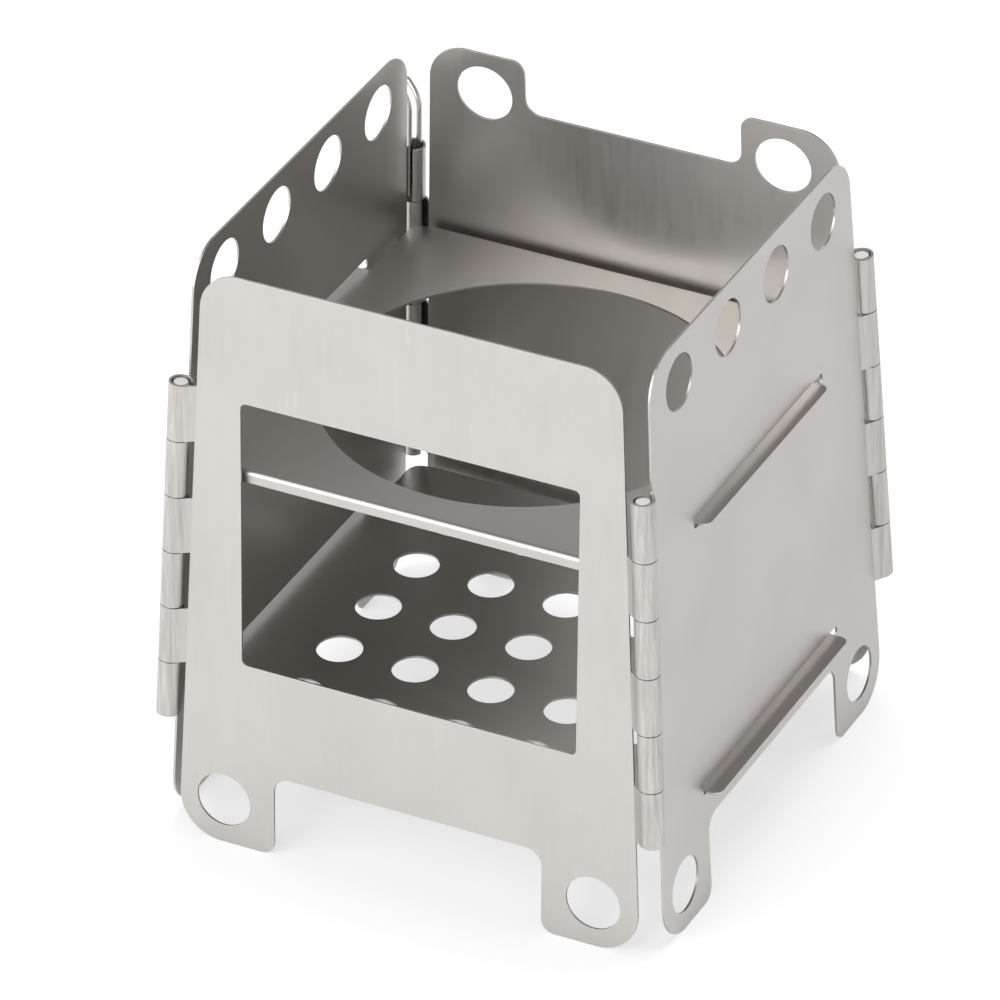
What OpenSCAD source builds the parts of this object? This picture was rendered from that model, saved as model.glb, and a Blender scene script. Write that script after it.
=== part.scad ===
/*
Folding titanium wood stove, in millimetres.
Origin on the ground under the middle of the stove, +Z up, fuel window facing -Y, +X to its right.
Four leaning sheet panels are hinged at the corners on rolled knuckles.
Two loose plates lie with their side tabs in slots of the left and right panels.
*/

/* [Body] */
// Distance between the middles of opposite panels at the ground
base_w = 112.6; // [105:0.1:135]
// The same distance at the top edge
top_w = 100; // [92:0.1:104]
// Height of the stove
stove_h = 133.2; // [127:0.2:150]
// Thickness of the titanium sheet
sheet_t = 0.5; // [0.3:0.05:0.8]
// Outer radius at the top corners of the panels
top_corner_r = 8.8; // [2:0.2:10]

/* [Feet] */
// Width of a foot, from the hinge axis at the ground to its inner edge
foot_w = 25.8; // [25:0.1:30]
// Height of the arch between the feet
arch_h = 19; // [12:0.5:19.5]
// Radius where the arch meets the feet
arch_r = 3.7; // [1:0.1:6]
// Radius at the outer bottom corner of a foot
foot_outer_r = 9.4; // [2:0.2:10]
// Radius at the inner bottom corner of a foot
foot_inner_r = 3; // [0.5:0.1:5]
// Diameter of the hole in each foot
foot_hole_d = 12.2; // [6:0.1:13]
// Distance of a foot hole from the hinge axis at the ground
foot_hole_inset = 14.2; // [13.5:0.1:16]
// Height of the foot holes along the sheet
foot_hole_w = 10.1; // [9:0.1:11]

/* [Window] */
// Width of the bars beside the fuel window, from the hinge axis at its upper corners
window_bar = 13.6; // [9:0.1:25]
// Height of the window's lower edge along the sheet
window_bottom = 43.8; // [38:0.1:50]
// Height of the window's upper edge along the sheet
window_top = 105; // [95:0.1:112]
// Corner radius of the window
window_r = 1.3; // [0.3:0.1:4]

/* [Vents] */
// Number of vent holes along the top of a side panel
vent_n = 4; // [2:1:4]
// Distance of the outermost vent hole from the hinge axis at the top
vent_inset = 16.4; // [13.5:0.1:20]
// Diameter of a vent hole
vent_d = 12; // [5:0.1:13]
// Depth of the vent holes and ear holes below the top edge
vent_drop = 9.6; // [8:0.1:16]
// Diameter of the hole in each ear of the back panel
ear_hole_d = 12.7; // [5:0.1:13.5]
// Distance of an ear hole from the hinge axis at the top
ear_hole_inset = 16; // [14.5:0.1:17]
// Width of an ear, from the hinge axis at the top to its inner edge
ear_w = 25.4; // [24.5:0.1:30]
// Depth of the notch between the ears
notch_depth = 12.2; // [6:0.1:14]
// Radius at the foot of the notch
notch_r = 3.4; // [1:0.1:5]
// Radius at the inner top corner of an ear
ear_inner_r = 3; // [0.5:0.1:4]

/* [Hinges] */
// Number of knuckles on a hinge
knuckle_n = 6; // [4:2:8]
// Height of the lower end of a hinge along the sheet
hinge_bottom = 27.8; // [26:0.1:32]
// Depth of the upper end of a hinge below the top edge
hinge_drop = 26.6; // [25:0.1:30]
// Play between neighbouring knuckles
knuckle_play = 0.2; // [0.1:0.05:0.4]
// Radius of the bore of a knuckle
bore_r = 2; // [1.5:0.05:2.1]
// Radial play of a hinge pin in its bores
pin_play = 0.07; // [0.03:0.01:0.1]
// Distance of a panel's side edge from the hinge axis
edge_inset = 3.7; // [3.3:0.05:4.5]
// Angle left open between the end of a rolled knuckle and the sheet
seam_angle = 20; // [8:1:40]
// Depth of the taper on the ends of a hinge pin, across the pin
pin_taper = 0.5; // [0.1:0.05:0.8]
// Length of the taper on the ends of a hinge pin
pin_taper_l = 1.4; // [0.2:0.1:3]
// Depth of a pin's ends below the ends of the hinge
pin_recess = 0.25; // [0.1:0.05:1]

/* [Lock pin] */
// Diameter of the lock pin's wire
wire_d = 1.3; // [0.8:0.05:1.4]
// Radial play of the wire pair in the bore
wire_play = 0.08; // [0.03:0.01:0.1]
// Length of wire inside the top knuckle
lock_inside_l = 12.4; // [8:0.1:12.8]
// Length of the straight wire above the hinge
lock_straight_l = 8.4; // [6:0.1:12]
// Radius of the bend above the straight wire
lock_bend_r = 4.6; // [3:0.1:8]
// Length of straight wire between the bend and the bow that is pulled
lock_bow_l = 1.6; // [0.5:0.1:3]
// Lean of the bow away from the stove
lock_bow_lean = 60; // [10:1:70]
// Turn of the bow from the back panel's plane to its outside
lock_turn = 28; // [0:1:45]

/* [Plates] */
// Height of the burner plate's upper face
burner_z = 88.3; // [80:0.1:92]
// Diameter of the opening in the burner plate
burner_hole_d = 85.4; // [60:0.2:88]
// Height of the grate plate's upper face
grate_z = 26.1; // [25.9:0.1:32]
// Number of grate holes along each side
grate_n = 5; // [3:1:5]
// Distance between neighbouring grate holes
grate_pitch = 17.5; // [14:0.1:18]
// Diameter of a grate hole
grate_hole_d = 9.8; // [4:0.1:11]
// Gap between a plate and the panels round it
plate_gap = 1.3; // [1:0.1:2.5]
// Corner radius of a plate
plate_r = 3.2; // [3:0.1:6]
// Height of the lips bent down along a plate's front and back edges
lip_h = 2.7; // [1.5:0.1:5]
// Outer radius of the bend of a lip
lip_r = 1; // [0.9:0.1:1.5]
// Length of a burner plate tab along the panel
burner_tab_l = 57.4; // [40:0.2:62]
// Reach of a burner plate tab past the outside of the panel
burner_tab_reach = 2.4; // [1:0.1:4]
// Length of a grate plate tab along the panel
grate_tab_l = 62.6; // [45:0.2:66]
// Reach of a grate plate tab past the outside of the panel
grate_tab_reach = 3.3; // [1:0.1:5]
// Corner radius of the tabs
tab_r = 2; // [0.5:0.1:4]
// Height of the slots that take the tabs
slot_h = 2.7; // [2.5:0.1:3.8]
// Play of a burner plate tab at each end of its slot
burner_slot_play = 1.7; // [0.8:0.1:3]
// Play of a grate plate tab at each end of its slot
grate_slot_play = 1.1; // [0.8:0.1:3]
// Play under a plate where its tabs rest in the slots
seat_play = 0.3; // [0.28:0.02:0.4]

/* [Hidden] */
$fn = 64;
titanium = [0.78, 0.77, 0.75];
wire_grey = [0.70, 0.69, 0.67];
// Panels stand a quarter turn apart
quarter = 90;
front_turn = 0;
right_turn = quarter;
back_turn = 2 * quarter;
left_turn = 3 * quarter;
// Lean of a panel, and its height along the sheet
lean = atan((base_w - top_w) / 2 / stove_h);
sheet_h = stove_h / cos(lean);
// Sheet past the ground and the top, cut away level
trim = sheet_t * tan(lean);
// Angle of a hinge axis to the panel's middle line, in the plane of the sheet
axis_angle = atan(sin(lean));
// One overrun for all cuts
cut = 2;
// Straight pieces in a rounded corner
arc_steps = 10;
// Share of a slot's height in the radius of its ends
slot_round = 0.45;
// Outlines and holes, measured from the panel's middle line and from the ground
foot_gap = base_w - 2 * foot_w;
foot_hole_u = base_w / 2 - foot_hole_inset;
ear_gap = top_w - 2 * ear_w;
ear_hole_u = top_w / 2 - ear_hole_inset;
vent_w = sheet_h - vent_drop;
vent_pitch = (top_w - 2 * vent_inset) / (vent_n - 1);
window_w = 2 * (half_w(window_top) - window_bar);
hinge_l = sheet_h - hinge_bottom - hinge_drop;
knuckle_pitch = hinge_l / knuckle_n;
knuckle_l = knuckle_pitch - knuckle_play;
barrel_r = bore_r + sheet_t;
roll_r = bore_r + sheet_t / 2;
pin_r = bore_r - pin_play;
wire_r = wire_d / 2;
// Distance of each leg of the lock pin from the hinge axis
leg_offset = bore_r - wire_play - wire_r;

// Distance of the hinge axis from a panel's middle line, at a height along the sheet
function half_w(w) = base_w / 2 - w * sin(lean);
// Distance of a panel's side edge from its middle line, at a height along the sheet
function edge_u(w) = half_w(w) - edge_inset / cos(axis_angle);
// Distance from the stove's middle to the inside and outside of a panel, at a height
function inside_at(z) = base_w / 2 - z * tan(lean) - sheet_t / 2 / cos(lean);
function outside_at(z) = base_w / 2 - z * tan(lean) + sheet_t / 2 / cos(lean);
function unit(v) = v / norm(v);
function turned(v, a) = [v.x * cos(a) - v.y * sin(a), v.x * sin(a) + v.y * cos(a)];
// Angle from direction a to direction b, between -180 and 180
function sweep(a, b) = atan2(a.x * b.y - a.y * b.x, a * b);
// Points of a corner at p, between neighbours a and b, rounded to radius r
function corner(a, p, b, r) = r == 0 ? [p] : let (
        to_a = unit(a - p),
        to_b = unit(b - p),
        half = acos(to_a * to_b) / 2,
        centre = p + unit(to_a + to_b) * r / sin(half),
        start = p + to_a * r / tan(half) - centre,
        end = p + to_b * r / tan(half) - centre,
        whole = sweep(start, end)
    ) [for (i = [0 : arc_steps]) centre + turned(start, whole * i / arc_steps)];
// Outline through corners given as [u, w, radius]
function rounded(c) = let (n = len(c)) [for (i = [0 : n - 1])
    each corner([c[(i + n - 1) % n][0], c[(i + n - 1) % n][1]], [c[i][0], c[i][1]],
        [c[(i + 1) % n][0], c[(i + 1) % n][1]], c[i][2])];

// A shape drawn in a panel's own plane, stood up on one side of the stove
module on_side(turn) {
    rotate([0, 0, turn])
        translate([0, -base_w / 2, 0])
        rotate([90 - lean, 0, 0])
        children();
}

// A shape along the hinge axis at a panel's right edge, Y along the pin and Z to the outside
module on_axis() {
    translate([half_w(0), 0, 0])
        rotate([0, 0, axis_angle])
        children();
}

// Corners of a panel's feet and arch, from the left foot to the right one
function feet_corners() = let (b = -trim) [
    [-edge_u(b), b, foot_outer_r],
    [-foot_gap / 2, b, foot_inner_r],
    [-foot_gap / 2, arch_h, arch_r],
    [foot_gap / 2, arch_h, arch_r],
    [foot_gap / 2, b, foot_inner_r],
    [edge_u(b), b, foot_outer_r]];

// Corners of a straight top edge, from right to left
function plain_top() = let (t = sheet_h + trim) [
    [edge_u(t), t, top_corner_r],
    [-edge_u(t), t, top_corner_r]];

// Corners of a top edge with two ears and a notch between them, from right to left
function eared_top() = let (t = sheet_h + trim, n = sheet_h - notch_depth) [
    [edge_u(t), t, top_corner_r],
    [ear_gap / 2, t, ear_inner_r],
    [ear_gap / 2, n, notch_r],
    [-ear_gap / 2, n, notch_r],
    [-ear_gap / 2, t, ear_inner_r],
    [-edge_u(t), t, top_corner_r]];

// A round hole through a panel
module round_hole(u, w, d) {
    translate([u, w, -cut])
        cylinder(d = d, h = 2 * cut);
}

// A slot that a plate's tab rests in, its lower edge just under the plate
module tab_slot(plate_z, long) {
    low = (plate_z - sheet_t - seat_play - sheet_t / 2 * sin(lean)) / cos(lean);
    end_r = slot_h * slot_round;
    translate([0, 0, -cut])
        linear_extrude(2 * cut)
        polygon(rounded([
            [-long / 2, low, end_r],
            [long / 2, low, end_r],
            [long / 2, low + slot_h, end_r],
            [-long / 2, low + slot_h, end_r]]));
}

// Cross-section of the web from a panel's edge to the roll of a knuckle
module web_section() {
    touch = acos(roll_r / edge_inset);
    along = [sin(touch), cos(touch)];
    across = [cos(touch), -sin(touch)];
    start = [-edge_inset, 0];
    reach = edge_inset * sin(touch);
    end = start + along * reach;
    side = across * sheet_t / 2;
    // A tongue that runs on into the metal of the roll
    tongue = along * sheet_t / 2;
    polygon([start + side, start - side, end - side,
        end - side / 2 + tongue, end + side / 2 + tongue, end + side]);
}

// One rolled knuckle of the right edge, its lower end at the origin, Y along the pin
module knuckle() {
    touch = acos(roll_r / edge_inset);
    far = 2 * barrel_r;
    rotate([90, 0, 180])
        mirror([1, 0, 0]) {
        difference() {
            cylinder(r = barrel_r, h = knuckle_l);
            translate([0, 0, -cut])
                cylinder(r = bore_r, h = knuckle_l + 2 * cut);
            translate([0, 0, -cut])
                linear_extrude(knuckle_l + 2 * cut)
                polygon([[0, 0],
                    far * [-cos(seam_angle), -sin(seam_angle)],
                    far * [-1, 0],
                    far * [-cos(touch), sin(touch)]]);
        }
        linear_extrude(knuckle_l)
            web_section();
        translate([-edge_inset, 0, 0])
            cylinder(d = sheet_t, h = knuckle_l);
    }
}

// The knuckles of a panel's right edge, every second place down from the given one
module knuckle_row(first) {
    on_axis()
        for (k = [first : 2 : knuckle_n - 1])
            translate([0, hinge_bottom + hinge_l - (k + 1) * knuckle_pitch + knuckle_play / 2, 0])
            knuckle();
}

// A panel with its knuckles, standing at the given turn, with its own holes cut by the children
module panel(turn, top) {
    intersection() {
        on_side(turn)
            difference() {
                union() {
                    translate([0, 0, -sheet_t / 2])
                        linear_extrude(sheet_t)
                        polygon(rounded(concat(feet_corners(), top)));
                    knuckle_row(1);
                    mirror([1, 0, 0])
                        knuckle_row(0);
                }
                for (s = [-1, 1])
                    round_hole(s * foot_hole_u, foot_hole_w, foot_hole_d);
                children();
            }
        translate([-base_w, -base_w, 0])
            cube([2 * base_w, 2 * base_w, stove_h]);
    }
}

module side_panel(turn) {
    color(titanium)
        panel(turn, plain_top()) {
            for (i = [0 : vent_n - 1])
                round_hole((i - (vent_n - 1) / 2) * vent_pitch, vent_w, vent_d);
            tab_slot(burner_z, burner_tab_l + 2 * burner_slot_play);
            tab_slot(grate_z, grate_tab_l + 2 * grate_slot_play);
        }
}

module front_panel() {
    color(titanium)
        panel(front_turn, plain_top())
        translate([0, 0, -cut])
        linear_extrude(2 * cut)
        polygon(rounded([
            [-window_w / 2, window_bottom, window_r],
            [window_w / 2, window_bottom, window_r],
            [window_w / 2, window_top, window_r],
            [-window_w / 2, window_top, window_r]]));
}

module back_panel() {
    color(titanium)
        panel(back_turn, eared_top())
        for (s = [-1, 1])
            round_hole(s * ear_hole_u, vent_w, ear_hole_d);
}

module right_panel() {
    side_panel(right_turn);
}

module left_panel() {
    side_panel(left_turn);
}

// A hinge pin at the right edge of the panel that stands at the given turn
module hinge_pin(turn) {
    straight = hinge_l - 2 * pin_recess - 2 * pin_taper_l;
    color(wire_grey)
        on_side(turn)
        on_axis()
        translate([0, hinge_bottom + pin_recess, 0])
        rotate([-90, 0, 0]) {
            cylinder(r1 = pin_r - pin_taper, r2 = pin_r, h = pin_taper_l);
            translate([0, 0, pin_taper_l])
                cylinder(r = pin_r, h = straight);
            translate([0, 0, pin_taper_l + straight])
                cylinder(r1 = pin_r, r2 = pin_r - pin_taper, h = pin_taper_l);
        }
}

module hinge_pin_front_left() {
    hinge_pin(left_turn);
}

module hinge_pin_front_right() {
    hinge_pin(front_turn);
}

module hinge_pin_back_right() {
    hinge_pin(right_turn);
}

// Lock pin of bent wire: two legs down the top knuckle of the back left hinge, a bow to pull above
module lock_pin() {
    leg_l = lock_inside_l + lock_straight_l;
    color(wire_grey)
        on_side(back_turn)
        on_axis()
        translate([0, hinge_bottom + hinge_l + lock_straight_l, 0])
        rotate([-90, 0, 0])
        rotate([0, 0, -lock_turn]) {
            for (s = [-1, 1])
                translate([0, s * leg_offset, 0]) {
                    translate([0, 0, -leg_l])
                        cylinder(r = wire_r, h = leg_l);
                    translate([lock_bend_r, 0, 0])
                        mirror([1, 0, 0])
                        rotate([90, 0, 0])
                        rotate_extrude(angle = lock_bow_lean)
                        translate([lock_bend_r, 0])
                        circle(r = wire_r);
                }
            translate([lock_bend_r * (1 - cos(lock_bow_lean)), 0, lock_bend_r * sin(lock_bow_lean)])
                rotate([0, lock_bow_lean, 0]) {
                    for (s = [-1, 1])
                        translate([0, s * leg_offset, 0]) {
                            cylinder(r = wire_r, h = lock_bow_l);
                            // A core that runs back into the bend
                            translate([0, 0, -wire_r])
                                cylinder(r = wire_r / 2, h = wire_d);
                        }
                    translate([0, 0, lock_bow_l])
                        rotate([90, 0, 90])
                        rotate_extrude(angle = 180)
                        translate([leg_offset, 0])
                        circle(r = wire_r);
                }
        }
}

// Distance of a plate's edges from the stove's middle
function plate_half(z) = inside_at(z) - plate_gap;

// Cross-section of a lip bent down, Y to the outside and the plate's upper face at zero
module lip_section(half) {
    inner_r = lip_r - sheet_t;
    polygon(concat(
        [[half - lip_r - cut, 0]],
        corner([half - lip_r - cut, 0], [half, 0], [half, -lip_h], lip_r),
        [[half, -lip_h], [half - sheet_t, -lip_h]],
        corner([half - sheet_t, -lip_h], [half - sheet_t, -sheet_t],
            [half - lip_r - cut, -sheet_t], inner_r),
        [[half - lip_r - cut, -sheet_t]]));
}

// A plate with lips along its front and back and a tab at each side, its holes cut by the children
module plate(z, tab_l, tab_reach) {
    half = plate_half(z);
    tab_u = outside_at(z) + tab_reach;
    lip_l = 2 * (half - plate_r);
    back = half - lip_r;
    translate([0, 0, z])
        difference() {
            union() {
                translate([0, 0, -sheet_t])
                    linear_extrude(sheet_t)
                    polygon(rounded([
                        [-half, -back, plate_r], [half, -back, plate_r],
                        [half, -tab_l / 2, 0], [tab_u, -tab_l / 2, tab_r],
                        [tab_u, tab_l / 2, tab_r], [half, tab_l / 2, 0],
                        [half, back, plate_r], [-half, back, plate_r],
                        [-half, tab_l / 2, 0], [-tab_u, tab_l / 2, tab_r],
                        [-tab_u, -tab_l / 2, tab_r], [-half, -tab_l / 2, 0]]));
                for (turn = [0, back_turn])
                    rotate([0, 0, turn])
                    translate([-lip_l / 2, 0, 0])
                    rotate([90, 0, 90])
                    linear_extrude(lip_l)
                    lip_section(half);
            }
            children();
        }
}

module burner_plate() {
    color(titanium)
        plate(burner_z, burner_tab_l, burner_tab_reach)
        translate([0, 0, -sheet_t - cut])
        cylinder(d = burner_hole_d, h = sheet_t + 2 * cut);
}

module grate_plate() {
    color(titanium)
        plate(grate_z, grate_tab_l, grate_tab_reach)
        for (i = [0 : grate_n - 1], j = [0 : grate_n - 1])
            translate([(i - (grate_n - 1) / 2) * grate_pitch, (j - (grate_n - 1) / 2) * grate_pitch, -sheet_t - cut])
            cylinder(d = grate_hole_d, h = sheet_t + 2 * cut);
}

front_panel();
right_panel();
back_panel();
left_panel();
hinge_pin_front_left();
hinge_pin_front_right();
hinge_pin_back_right();
lock_pin();
burner_plate();
grate_plate();
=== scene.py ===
"""Folding titanium wood stove: finishes, floor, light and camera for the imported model."""

import math

import bmesh
import bpy
from mathutils import Matrix, Vector


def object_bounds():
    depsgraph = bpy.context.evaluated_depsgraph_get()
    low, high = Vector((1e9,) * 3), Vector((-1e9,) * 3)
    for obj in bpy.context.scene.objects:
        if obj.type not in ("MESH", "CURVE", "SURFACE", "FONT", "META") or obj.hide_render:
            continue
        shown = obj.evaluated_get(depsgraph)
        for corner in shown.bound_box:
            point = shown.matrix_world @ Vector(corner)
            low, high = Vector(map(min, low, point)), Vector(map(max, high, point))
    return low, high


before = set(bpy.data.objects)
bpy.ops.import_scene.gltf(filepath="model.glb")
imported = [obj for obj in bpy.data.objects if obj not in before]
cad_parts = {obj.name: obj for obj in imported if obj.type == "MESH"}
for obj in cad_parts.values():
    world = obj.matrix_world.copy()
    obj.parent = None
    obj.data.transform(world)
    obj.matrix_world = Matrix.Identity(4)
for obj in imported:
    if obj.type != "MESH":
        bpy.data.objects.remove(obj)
CAD_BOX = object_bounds()

bl_info = {
    "name": "Folding Titanium Stove",
    "version": (1, 0, 0),
    "blender": (4, 5, 0),
    "location": "3D View > Sidebar > Stove",
    "description": "Gives the folding stove its sheet and wire finishes, floor, light and camera",
    "category": "Object",
}

PANEL_NODES = ("front_panel", "right_panel", "back_panel", "left_panel")
PLATE_NODES = ("burner_plate", "grate_plate")
HINGE_PIN_NODES = ("hinge_pin_front_left", "hinge_pin_front_right", "hinge_pin_back_right")

# Distance of the hinge axes from the stove's middle planes at the ground
HINGE_FOOT = 0.0563
# How far they come inward for each unit of height
HINGE_LEAN = 0.0473
# Just over a knuckle's outer radius
KNUCKLE_REACH = 0.003

# Scales of the noise textures on the metal
CLOUD_SCALE = 38.0
GRAIN_SCALE = 900.0
SPECK_SCALE = 3600.0
KNUCKLE_SCALE = 1100.0
# Range of brightness that the clouds and the grain give
CLOUD_RANGE = (0.965, 1.03)
GRAIN_RANGE = (0.982, 1.016)
# Squeeze of the grain along the drawn direction of the sheet, a knuckle and the wire
SHEET_DRAW = 0.06
KNUCKLE_DRAW = 0.03
WIRE_DRAW = 0.1
# Radius of the rounded look of cut edges, and how much paler the painted highlight on them makes them
EDGE_RADIUS = 0.00012
EDGE_PALER = 1.18
# Depth of the grain's bump
GRAIN_DEPTH = 0.00002

# Half the width of the floor
FLOOR_HALF = 6.0
# The floor as the metal mirrors it, darkened as painted shade under and behind the stove: its level under
# the stove, from where to where that level ends as shares of the stove's half width, its level behind the
# stove, and the way that counts as behind
UNDER_LEVEL = 0.1
UNDER_SHARES = (0.7, 1.1)
BEHIND_LEVEL = 0.72
BEHIND_WAY = (0.454, 0.891, 0.0)

# Heights of a line of sight between which the sky goes from horizon to zenith
SKY_BAND = (0.1, 0.75)
# The side of the sky that is brightest
LAMP_SIDE = (-0.5, -0.86, 0.0)
# Each lamp's name, size and place, and whether the metal mirrors it
LAMPS = (
    ("key", (1.8, 1.0), (-0.8, -1.3, 0.55), True),
    ("fill", (1.3, 1.3), (-0.35, -1.2, 1.3), True),
    ("top", (1.1, 1.1), (0.0, 0.45, 1.1), False),
)
LAMP_AIM = Vector((0.0, 0.0, 0.06))

# Width of the film and focal length, in millimetres
FILM_WIDTH = 36.0
FOCAL_LENGTH = 319.8
# Point that the camera looks at, and how far the picture's middle lies right of and above it
VIEW_POINT = Vector((0.0, 0.0, 0.0603))
VIEW_SHIFT = (-0.00555, 0.00167)

# Materials


def linear(rgb):
    """Linear colour from 0 to 255 screen values."""
    def channel(v):
        v /= 255
        return v / 12.92 if v <= 0.04045 else ((v + 0.055) / 1.055) ** 2.4
    return tuple(channel(v) for v in rgb)


def new_material(name):
    material = bpy.data.materials.new(name)
    material.use_nodes = True
    nodes = material.node_tree.nodes
    nodes.clear()
    output = nodes.new("ShaderNodeOutputMaterial")
    output.location = (900, 0)
    return material, nodes, material.node_tree.links, output


def noise(nodes, links, vector, scale, detail, rough, place):
    """A noise texture on the given coordinates."""
    node = nodes.new("ShaderNodeTexNoise")
    node.inputs["Scale"].default_value = scale
    node.inputs["Detail"].default_value = detail
    node.inputs["Roughness"].default_value = rough
    node.location = place
    links.new(vector, node.inputs["Vector"])
    return node.outputs["Fac"]


def ranged(nodes, links, value, low, high, place):
    """The value, from 0.3 to 0.7, spread over low to high."""
    node = nodes.new("ShaderNodeMapRange")
    node.inputs["From Min"].default_value = 0.3
    node.inputs["From Max"].default_value = 0.7
    node.inputs["To Min"].default_value = low
    node.inputs["To Max"].default_value = high
    node.location = place
    links.new(value, node.inputs["Value"])
    return node.outputs["Result"]


def fill_inputs(links, node, values):
    """Links each socket to the node's input in the same place, and sets each plain value there."""
    for i, value in enumerate(values):
        if isinstance(value, bpy.types.NodeSocket):
            links.new(value, node.inputs[i])
        else:
            node.inputs[i].default_value = value


def sum_of(nodes, links, operation, values, place):
    """A sum of numbers, such as ADD or MAXIMUM."""
    node = nodes.new("ShaderNodeMath")
    node.operation = operation
    node.location = place
    fill_inputs(links, node, values)
    return node.outputs["Value"]


def vector_sum(nodes, links, operation, values, place):
    """A sum of vectors. LENGTH and DOT_PRODUCT give a number, the others a vector."""
    node = nodes.new("ShaderNodeVectorMath")
    node.operation = operation
    node.location = place
    fill_inputs(links, node, values)
    return node.outputs["Value" if operation in ("LENGTH", "DOT_PRODUCT") else "Vector"]


def split(nodes, links, vector, place):
    """The X, Y and Z of a vector, as a node's outputs."""
    node = nodes.new("ShaderNodeSeparateXYZ")
    node.location = place
    links.new(vector, node.inputs["Vector"])
    return node.outputs


def near_hinge(nodes, links, point):
    """One on the rolled knuckles, nought on the rest of a panel."""
    size = vector_sum(nodes, links, "ABSOLUTE", (point,), (-1300, 700))
    height = split(nodes, links, size, (-1100, 850))["Z"]
    inset = sum_of(nodes, links, "MULTIPLY_ADD", (height, HINGE_LEAN, -HINGE_FOOT), (-900, 850))
    middle = nodes.new("ShaderNodeCombineXYZ")
    middle.location = (-700, 850)
    links.new(inset, middle.inputs["X"])
    links.new(inset, middle.inputs["Y"])
    across = vector_sum(nodes, links, "MULTIPLY_ADD", (size, (1.0, 1.0, 0.0), middle.outputs["Vector"]),
                        (-500, 700))
    off = vector_sum(nodes, links, "LENGTH", (across,), (-300, 700))
    return sum_of(nodes, links, "LESS_THAN", (off, KNUCKLE_REACH), (-100, 700))


def streaked(nodes, links, point, strength):
    """Brightness of the knuckles' streaks along the pin, partly rolled grain and partly painted reflection
    banding, and one on the rest of a panel.
    """
    drag = nodes.new("ShaderNodeMapping")
    drag.location = (-1100, 450)
    drag.inputs["Scale"].default_value = (1.0, 1.0, KNUCKLE_DRAW)
    links.new(point, drag.inputs["Vector"])
    rolled = noise(nodes, links, drag.outputs["Vector"], KNUCKLE_SCALE, 3.0, 0.7, (-450, 500))
    band = nodes.new("ShaderNodeMapRange")
    band.location = (100, 600)
    band.inputs["To Min"].default_value = 1.0
    links.new(near_hinge(nodes, links, point), band.inputs["Value"])
    streak = ranged(nodes, links, rolled, 1.0 - strength, 1.0 + strength / 2, (-200, 500))
    links.new(streak, band.inputs["To Max"])
    return band.outputs["Result"]


def metal_finish(name, colour, roughness, grain, grain_stretch, metallic=1.0, knuckle_streak_and_sheen=0.0):
    """Satin metal: a fine grain drawn along the sheet, faint clouds, and a painted highlight that makes cut
    edges paler.
    """
    material, nodes, links, output = new_material(name)
    shader = nodes.new("ShaderNodeBsdfPrincipled")
    shader.location = (600, 0)
    shader.inputs["Metallic"].default_value = metallic
    links.new(shader.outputs["BSDF"], output.inputs["Surface"])
    place = nodes.new("ShaderNodeTexCoord")
    place.location = (-900, 0)
    drawn = nodes.new("ShaderNodeMapping")
    drawn.location = (-700, -200)
    drawn.inputs["Scale"].default_value = grain_stretch
    links.new(place.outputs["Object"], drawn.inputs["Vector"])
    cloud = noise(nodes, links, place.outputs["Object"], CLOUD_SCALE, 3.0, 0.5, (-450, 300))
    lines = noise(nodes, links, drawn.outputs["Vector"], GRAIN_SCALE, 4.0, 0.65, (-450, -200))
    speck = noise(nodes, links, place.outputs["Object"], SPECK_SCALE, 2.0, 0.6, (-450, -500))
    bright = ranged(nodes, links, cloud, *CLOUD_RANGE, (-200, 300))
    streak = ranged(nodes, links, lines, *GRAIN_RANGE, (-200, 100))
    shown = sum_of(nodes, links, "MULTIPLY", (bright, streak), (0, 250))
    # Streaks on the knuckles: partly rolled grain, partly painted reflection banding
    if knuckle_streak_and_sheen:
        band = streaked(nodes, links, place.outputs["Object"], knuckle_streak_and_sheen)
        shown = sum_of(nodes, links, "MULTIPLY", (shown, band), (200, 450))
    rounded = nodes.new("ShaderNodeBevel")
    rounded.samples = 4
    rounded.inputs["Radius"].default_value = EDGE_RADIUS
    rounded.location = (-700, -750)
    shape = nodes.new("ShaderNodeNewGeometry")
    shape.location = (-700, -950)
    turn = vector_sum(nodes, links, "DOT_PRODUCT", (rounded.outputs["Normal"], shape.outputs["Normal"]),
                      (-450, -800))
    edge = nodes.new("ShaderNodeMapRange")
    edge.location = (-200, -800)
    edge.inputs["From Min"].default_value = 0.99
    edge.inputs["From Max"].default_value = 0.8
    links.new(turn, edge.inputs["Value"])
    sheet_tone = nodes.new("ShaderNodeVectorMath")
    sheet_tone.operation = "SCALE"
    sheet_tone.location = (200, 250)
    sheet_tone.inputs[0].default_value = colour
    links.new(shown, sheet_tone.inputs["Scale"])
    # Painted highlight: the cut edges get a paler colour
    edge_highlight = nodes.new("ShaderNodeMix")
    edge_highlight.data_type = "RGBA"
    edge_highlight.location = (400, 250)
    edge_highlight.inputs["B"].default_value = tuple(min(1.0, c * EDGE_PALER) for c in colour) + (1.0,)
    links.new(edge.outputs["Result"], edge_highlight.inputs["Factor"])
    links.new(sheet_tone.outputs["Vector"], edge_highlight.inputs["A"])
    links.new(edge_highlight.outputs["Result"], shader.inputs["Base Color"])
    links.new(ranged(nodes, links, lines, roughness - 0.04, roughness + 0.05, (0, -100)),
              shader.inputs["Roughness"])
    height = sum_of(nodes, links, "ADD", (lines, speck), (-200, -400))
    bump = nodes.new("ShaderNodeBump")
    bump.location = (200, -300)
    bump.inputs["Strength"].default_value = grain
    bump.inputs["Distance"].default_value = GRAIN_DEPTH
    links.new(height, bump.inputs["Height"])
    links.new(rounded.outputs["Normal"], bump.inputs["Normal"])
    links.new(bump.outputs["Normal"], shader.inputs["Normal"])
    return material


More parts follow.
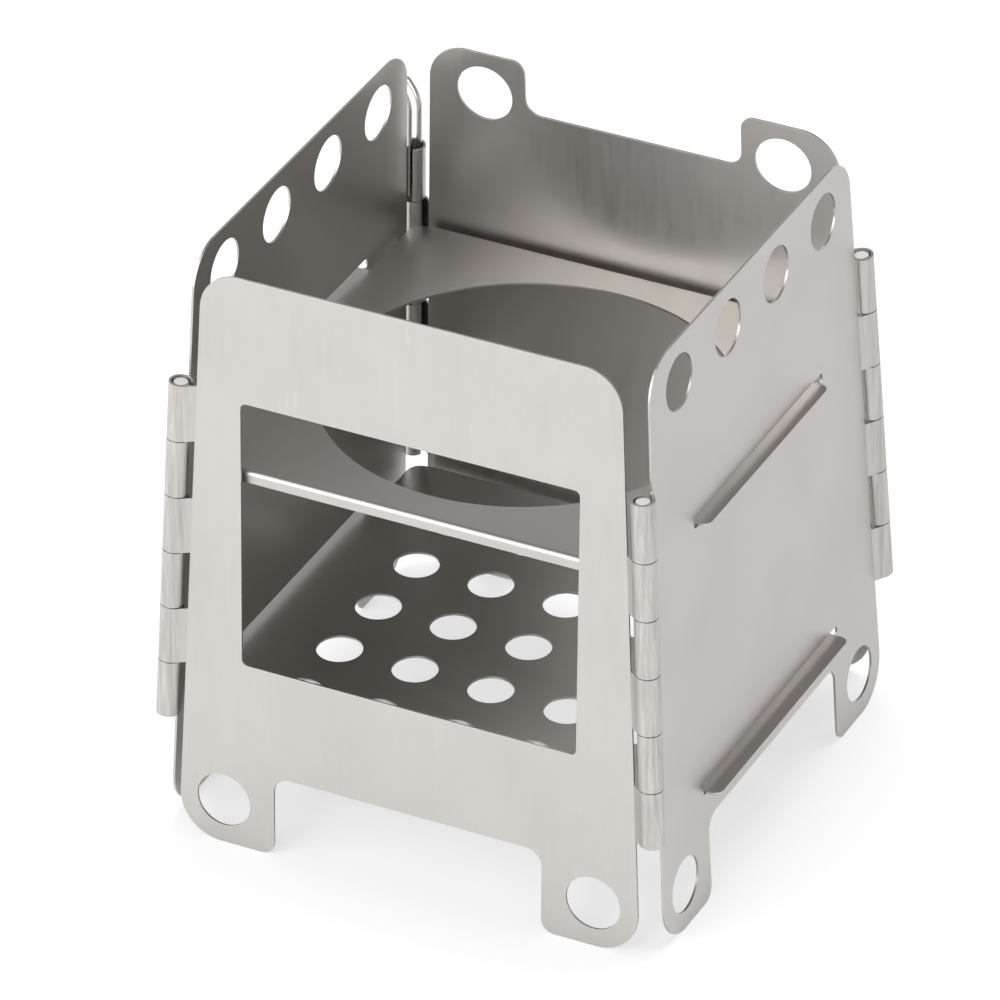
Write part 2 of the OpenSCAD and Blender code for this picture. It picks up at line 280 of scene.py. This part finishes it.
def floor_finish(name, colour, glow, reach):
    """Pale floor that keeps shadows and shows white to the camera and in the metal.

    Set by hand to match the photograph, the metal mirrors it darker under the stove and behind it: painted
    shade where the stove shades the floor.
    """
    material, nodes, links, output = new_material(name)
    place = nodes.new("ShaderNodeTexCoord")
    place.location = (-900, 0)
    soft = noise(nodes, links, place.outputs["Object"], 6.0, 2.0, 0.5, (-650, 0))
    tint = nodes.new("ShaderNodeMix")
    tint.data_type = "RGBA"
    tint.location = (-400, 100)
    tint.inputs["A"].default_value = tuple(c * 0.995 for c in colour) + (1.0,)
    tint.inputs["B"].default_value = tuple(colour) + (1.0,)
    links.new(soft, tint.inputs["Factor"])
    matt = nodes.new("ShaderNodeBsdfDiffuse")
    matt.location = (-100, 100)
    links.new(tint.outputs["Result"], matt.inputs["Color"])
    path = nodes.new("ShaderNodeLightPath")
    path.location = (-650, -300)
    # Painted shade in the mirrored floor: darker under the stove and behind it
    size = vector_sum(nodes, links, "ABSOLUTE", (place.outputs["Object"],), (-1000, -500))
    apart = split(nodes, links, size, (-850, -500))
    away = sum_of(nodes, links, "MAXIMUM", (apart["X"], apart["Y"]), (-700, -500))
    outside = nodes.new("ShaderNodeMapRange")
    outside.interpolation_type = "SMOOTHSTEP"
    outside.location = (-550, -500)
    outside.inputs["From Min"].default_value = reach * UNDER_SHARES[0]
    outside.inputs["From Max"].default_value = reach * UNDER_SHARES[1]
    outside.inputs["To Min"].default_value = UNDER_LEVEL
    links.new(away, outside.inputs["Value"])
    along = vector_sum(nodes, links, "DOT_PRODUCT", (place.outputs["Object"], BEHIND_WAY), (-1000, -700))
    behind = nodes.new("ShaderNodeMapRange")
    behind.interpolation_type = "SMOOTHSTEP"
    behind.location = (-800, -700)
    behind.inputs["From Min"].default_value = -reach
    behind.inputs["From Max"].default_value = reach * 2
    behind.inputs["To Min"].default_value = 1.0
    behind.inputs["To Max"].default_value = BEHIND_LEVEL
    links.new(along, behind.inputs["Value"])
    painted_shade = sum_of(nodes, links, "MULTIPLY", (outside.outputs["Result"], behind.outputs["Result"]),
                 (-550, -700))
    mirrored = sum_of(nodes, links, "MULTIPLY", (path.outputs["Is Glossy Ray"], painted_shade), (-550, -250))
    seen = sum_of(nodes, links, "MAXIMUM", (path.outputs["Is Camera Ray"], mirrored), (-400, -250))
    clear = sum_of(nodes, links, "MAXIMUM", (seen, path.outputs["Is Transmission Ray"]), (-250, -350))
    level = sum_of(nodes, links, "MULTIPLY", (clear, glow), (-100, -250))
    light = nodes.new("ShaderNodeEmission")
    light.location = (100, -150)
    links.new(level, light.inputs["Strength"])
    both = nodes.new("ShaderNodeAddShader")
    both.location = (400, 0)
    links.new(matt.outputs["BSDF"], both.inputs[0])
    links.new(light.outputs["Emission"], both.inputs[1])
    links.new(both.outputs["Shader"], output.inputs["Surface"])
    return material


def give(node_names, material):
    """Puts one finish on each of the named CAD pieces."""
    for name in node_names:
        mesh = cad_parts[name].data
        mesh.materials.clear()
        mesh.materials.append(material)


# Settings


class StoveFinish(bpy.types.PropertyGroup):
    """Colours and grain of the sheet and the wire."""

    sheet_colour: bpy.props.FloatVectorProperty(
        name="Sheet colour", description="Colour of the titanium sheet", subtype="COLOR",
        size=3, min=0.0, max=1.0, default=linear((202, 199, 195)))
    sheet_roughness: bpy.props.FloatProperty(
        name="Sheet roughness", description="How matt the sheet is", subtype="FACTOR",
        min=0.1, max=0.9, default=0.36)
    sheet_grain: bpy.props.FloatProperty(
        name="Sheet grain", description="How deep the drawn grain of the sheet looks", subtype="FACTOR",
        min=0.0, max=1.0, default=0.18)
    # Streaks on the knuckles: partly rolled grain, partly painted reflection banding
    knuckle_streak_and_sheen: bpy.props.FloatProperty(
        name="Knuckle streak", description="How strongly the rolled knuckles are streaked along the pin",
        subtype="FACTOR", min=0.0, max=1.0, default=0.24)
    wire_colour: bpy.props.FloatVectorProperty(
        name="Wire colour", description="Colour of the hinge pins and the lock pin", subtype="COLOR",
        size=3, min=0.0, max=1.0, default=linear((214, 211, 207)))
    wire_roughness: bpy.props.FloatProperty(
        name="Wire roughness", description="How matt the lock pin's wire is", subtype="FACTOR",
        min=0.1, max=0.9, default=0.28)
    rod_roughness: bpy.props.FloatProperty(
        name="Rod roughness", description="How matt the hinge pins are", subtype="FACTOR",
        min=0.1, max=0.9, default=0.5)
    rod_shine: bpy.props.FloatProperty(
        name="Rod shine", description="How far the hinge pins mirror rather than scatter",
        subtype="FACTOR", min=0.0, max=1.0, default=0.25)


class StoveStage(bpy.types.PropertyGroup):
    """Floor, light and camera."""

    floor_colour: bpy.props.FloatVectorProperty(
        name="Floor colour", description="Colour of the floor", subtype="COLOR",
        size=3, min=0.0, max=1.0, default=(0.45, 0.45, 0.453))
    floor_glow: bpy.props.FloatProperty(
        name="Floor glow", description="White that the camera sees on the floor beyond its own shade",
        min=0.0, max=1.0, default=0.62)
    horizon_level: bpy.props.FloatProperty(
        name="Horizon level", description="Strength of the even light from all round at eye level",
        min=0.0, max=1.5, default=1.0)
    far_share: bpy.props.FloatProperty(
        name="Far share", description="Share of that strength behind the stove, away from the lamps",
        subtype="FACTOR", min=0.0, max=1.0, default=0.85)
    zenith_level: bpy.props.FloatProperty(
        name="Zenith level", description="Strength of the even light from straight above",
        min=0.0, max=1.5, default=0.32)
    key_watts: bpy.props.FloatProperty(
        name="Key light", description="Power of the large low light at the front left", subtype="POWER",
        min=0.0, max=200.0, default=11.5)
    fill_watts: bpy.props.FloatProperty(
        name="Fill light", description="Power of the soft light that reaches over the front panel",
        subtype="POWER", min=0.0, max=200.0, default=8.0)
    top_watts: bpy.props.FloatProperty(
        name="Top light", description="Power of the soft light above, which sets the floor's shadow",
        subtype="POWER", min=0.0, max=200.0, default=10.0)
    view_azimuth: bpy.props.FloatProperty(
        name="View azimuth", description="Camera's turn from the front towards the right",
        subtype="ANGLE", default=math.radians(27.0))
    view_elevation: bpy.props.FloatProperty(
        name="View elevation", description="Camera's height above the level",
        subtype="ANGLE", default=math.radians(32.93))
    view_roll: bpy.props.FloatProperty(
        name="View roll", description="Camera's turn about its own line of sight",
        subtype="ANGLE", default=math.radians(-0.8))
    view_distance: bpy.props.FloatProperty(
        name="View distance", description="Distance from the camera to the stove",
        subtype="DISTANCE", unit="LENGTH", default=1.8194)


# Operators


class STOVE_OT_camera(bpy.types.Operator):
    """Stands the camera where the photograph was taken from"""

    bl_idname = "stove.camera"
    bl_label = "Camera"

    def execute(self, context):
        stage = context.scene.stove_stage
        az, el, roll = stage.view_azimuth, stage.view_elevation, stage.view_roll
        back = Vector((math.sin(az) * math.cos(el), -math.cos(az) * math.cos(el), math.sin(el)))
        right = Vector((math.cos(az), math.sin(az), 0.0))
        up = back.cross(right)
        right, up = (right * math.cos(roll) + up * math.sin(roll),
                     up * math.cos(roll) - right * math.sin(roll))
        data = bpy.data.cameras.new("stove_camera")
        data.sensor_width = FILM_WIDTH
        data.lens = FOCAL_LENGTH
        data.clip_start = 0.1
        data.clip_end = 50.0
        camera = bpy.data.objects.new("stove_camera", data)
        context.scene.collection.objects.link(camera)
        aim = VIEW_POINT + right * VIEW_SHIFT[0] + up * VIEW_SHIFT[1]
        pose = Matrix((right, up, back)).transposed().to_4x4()
        pose.translation = aim + back * stage.view_distance
        camera.matrix_world = pose
        context.scene.camera = camera
        return {"FINISHED"}


class STOVE_OT_panels(bpy.types.Operator):
    """Finishes the four hinged panels"""

    bl_idname = "stove.panels"
    bl_label = "Panels"

    def execute(self, context):
        look = context.scene.stove_finish
        sheet = metal_finish("titanium_sheet", tuple(look.sheet_colour), look.sheet_roughness,
                             look.sheet_grain, (1.0, 1.0, SHEET_DRAW), knuckle_streak_and_sheen=look.knuckle_streak_and_sheen)
        give(PANEL_NODES, sheet)
        return {"FINISHED"}


class STOVE_OT_plates(bpy.types.Operator):
    """Finishes the burner plate and the grate plate"""

    bl_idname = "stove.plates"
    bl_label = "Plates"

    def execute(self, context):
        look = context.scene.stove_finish
        sheet = metal_finish("titanium_plate", tuple(look.sheet_colour), look.sheet_roughness,
                             look.sheet_grain, (SHEET_DRAW, 1.0, 1.0))
        give(PLATE_NODES, sheet)
        return {"FINISHED"}


class STOVE_OT_pins(bpy.types.Operator):
    """Finishes the hinge pins and the lock pin"""

    bl_idname = "stove.pins"
    bl_label = "Hinge pins and lock pin"

    def execute(self, context):
        look = context.scene.stove_finish
        wire = metal_finish("titanium_wire", tuple(look.wire_colour), look.wire_roughness,
                            look.sheet_grain, (1.0, 1.0, WIRE_DRAW))
        give(("lock_pin",), wire)
        # The photograph shows the ends of the hinge pins as pale discs, so they scatter more light
        rod = metal_finish("titanium_rod", tuple(look.wire_colour), look.rod_roughness,
                           look.sheet_grain, (1.0, 1.0, WIRE_DRAW), look.rod_shine)
        give(HINGE_PIN_NODES, rod)
        return {"FINISHED"}


class STOVE_OT_stage(bpy.types.Operator):
    """Lays the floor and sets the soft studio light"""

    bl_idname = "stove.stage"
    bl_label = "Floor and light"

    def execute(self, context):
        stage = context.scene.stove_stage
        mesh = bpy.data.meshes.new("floor")
        build = bmesh.new()
        bmesh.ops.create_grid(build, x_segments=1, y_segments=1, size=FLOOR_HALF)
        build.to_mesh(mesh)
        build.free()
        floor = bpy.data.objects.new("floor", mesh)
        context.scene.collection.objects.link(floor)
        mesh.materials.append(floor_finish("pale_floor", tuple(stage.floor_colour), stage.floor_glow,
                                           CAD_BOX[1][0]))

        world = bpy.data.worlds.new("studio")
        context.scene.world = world
        world.use_nodes = True
        nodes, links = world.node_tree.nodes, world.node_tree.links
        nodes.clear()
        output = nodes.new("ShaderNodeOutputWorld")
        path = nodes.new("ShaderNodeLightPath")
        seen = sum_of(nodes, links, "MAXIMUM",
                      (path.outputs["Is Camera Ray"], path.outputs["Is Transmission Ray"]), (0, 0))
        toward = nodes.new("ShaderNodeTexCoord")
        parts = split(nodes, links, toward.outputs["Generated"], (0, 0))
        height = nodes.new("ShaderNodeMapRange")
        height.interpolation_type = "SMOOTHSTEP"
        height.inputs["From Min"].default_value = SKY_BAND[0]
        height.inputs["From Max"].default_value = SKY_BAND[1]
        height.inputs["To Min"].default_value = stage.horizon_level
        height.inputs["To Max"].default_value = stage.zenith_level
        links.new(parts["Z"], height.inputs["Value"])
        facing = vector_sum(nodes, links, "DOT_PRODUCT", (toward.outputs["Generated"], LAMP_SIDE), (0, 0))
        side = nodes.new("ShaderNodeMapRange")
        side.inputs["From Min"].default_value = -1.0
        side.inputs["From Max"].default_value = 1.0
        side.inputs["To Min"].default_value = stage.far_share
        side.inputs["To Max"].default_value = 1.0
        links.new(facing, side.inputs["Value"])
        shade = sum_of(nodes, links, "MULTIPLY", (height.outputs["Result"], side.outputs["Result"]), (0, 0))
        level = nodes.new("ShaderNodeMapRange")
        level.inputs["To Max"].default_value = 1.0
        links.new(shade, level.inputs["To Min"])
        links.new(seen, level.inputs["Value"])
        sky = nodes.new("ShaderNodeBackground")
        sky.inputs["Color"].default_value = (1.0, 1.0, 1.0, 1.0)
        links.new(level.outputs["Result"], sky.inputs["Strength"])
        links.new(sky.outputs["Background"], output.inputs["Surface"])

        for name, size, place, mirrored in LAMPS:
            lamp = bpy.data.lights.new(name + "_light", "AREA")
            lamp.shape = "RECTANGLE"
            lamp.size, lamp.size_y = size
            lamp.energy = getattr(stage, name + "_watts")
            stand = bpy.data.objects.new(name + "_light", lamp)
            context.scene.collection.objects.link(stand)
            stand.visible_glossy = mirrored
            place = Vector(place)
            aim = (LAMP_AIM - place).to_track_quat("-Z", "Y")
            stand.matrix_world = Matrix.Translation(place) @ aim.to_matrix().to_4x4()
        context.scene.view_settings.view_transform = "Standard"
        return {"FINISHED"}


STEPS = (STOVE_OT_camera, STOVE_OT_panels, STOVE_OT_plates, STOVE_OT_pins, STOVE_OT_stage)


class STOVE_PT_sidebar(bpy.types.Panel):
    """Lists the stove's settings and its steps"""

    bl_idname = "STOVE_PT_sidebar"
    bl_label = "Folding stove"
    bl_space_type = "VIEW_3D"
    bl_region_type = "UI"
    bl_category = "Stove"

    def draw(self, context):
        for group in (context.scene.stove_finish, context.scene.stove_stage):
            for key in group.__annotations__:
                self.layout.prop(group, key)
        for step in STEPS:
            self.layout.operator(step.bl_idname)


CLASSES = (StoveFinish, StoveStage) + STEPS + (STOVE_PT_sidebar,)


def register():
    for item in CLASSES:
        bpy.utils.register_class(item)
    bpy.types.Scene.stove_finish = bpy.props.PointerProperty(type=StoveFinish)
    bpy.types.Scene.stove_stage = bpy.props.PointerProperty(type=StoveStage)


def unregister():
    del bpy.types.Scene.stove_stage
    del bpy.types.Scene.stove_finish
    for item in reversed(CLASSES):
        bpy.utils.unregister_class(item)


def main():
    register()
    for step in STEPS:
        group, name = step.bl_idname.split(".")
        getattr(getattr(bpy.ops, group), name)()


if __name__ == "__main__":
    main()
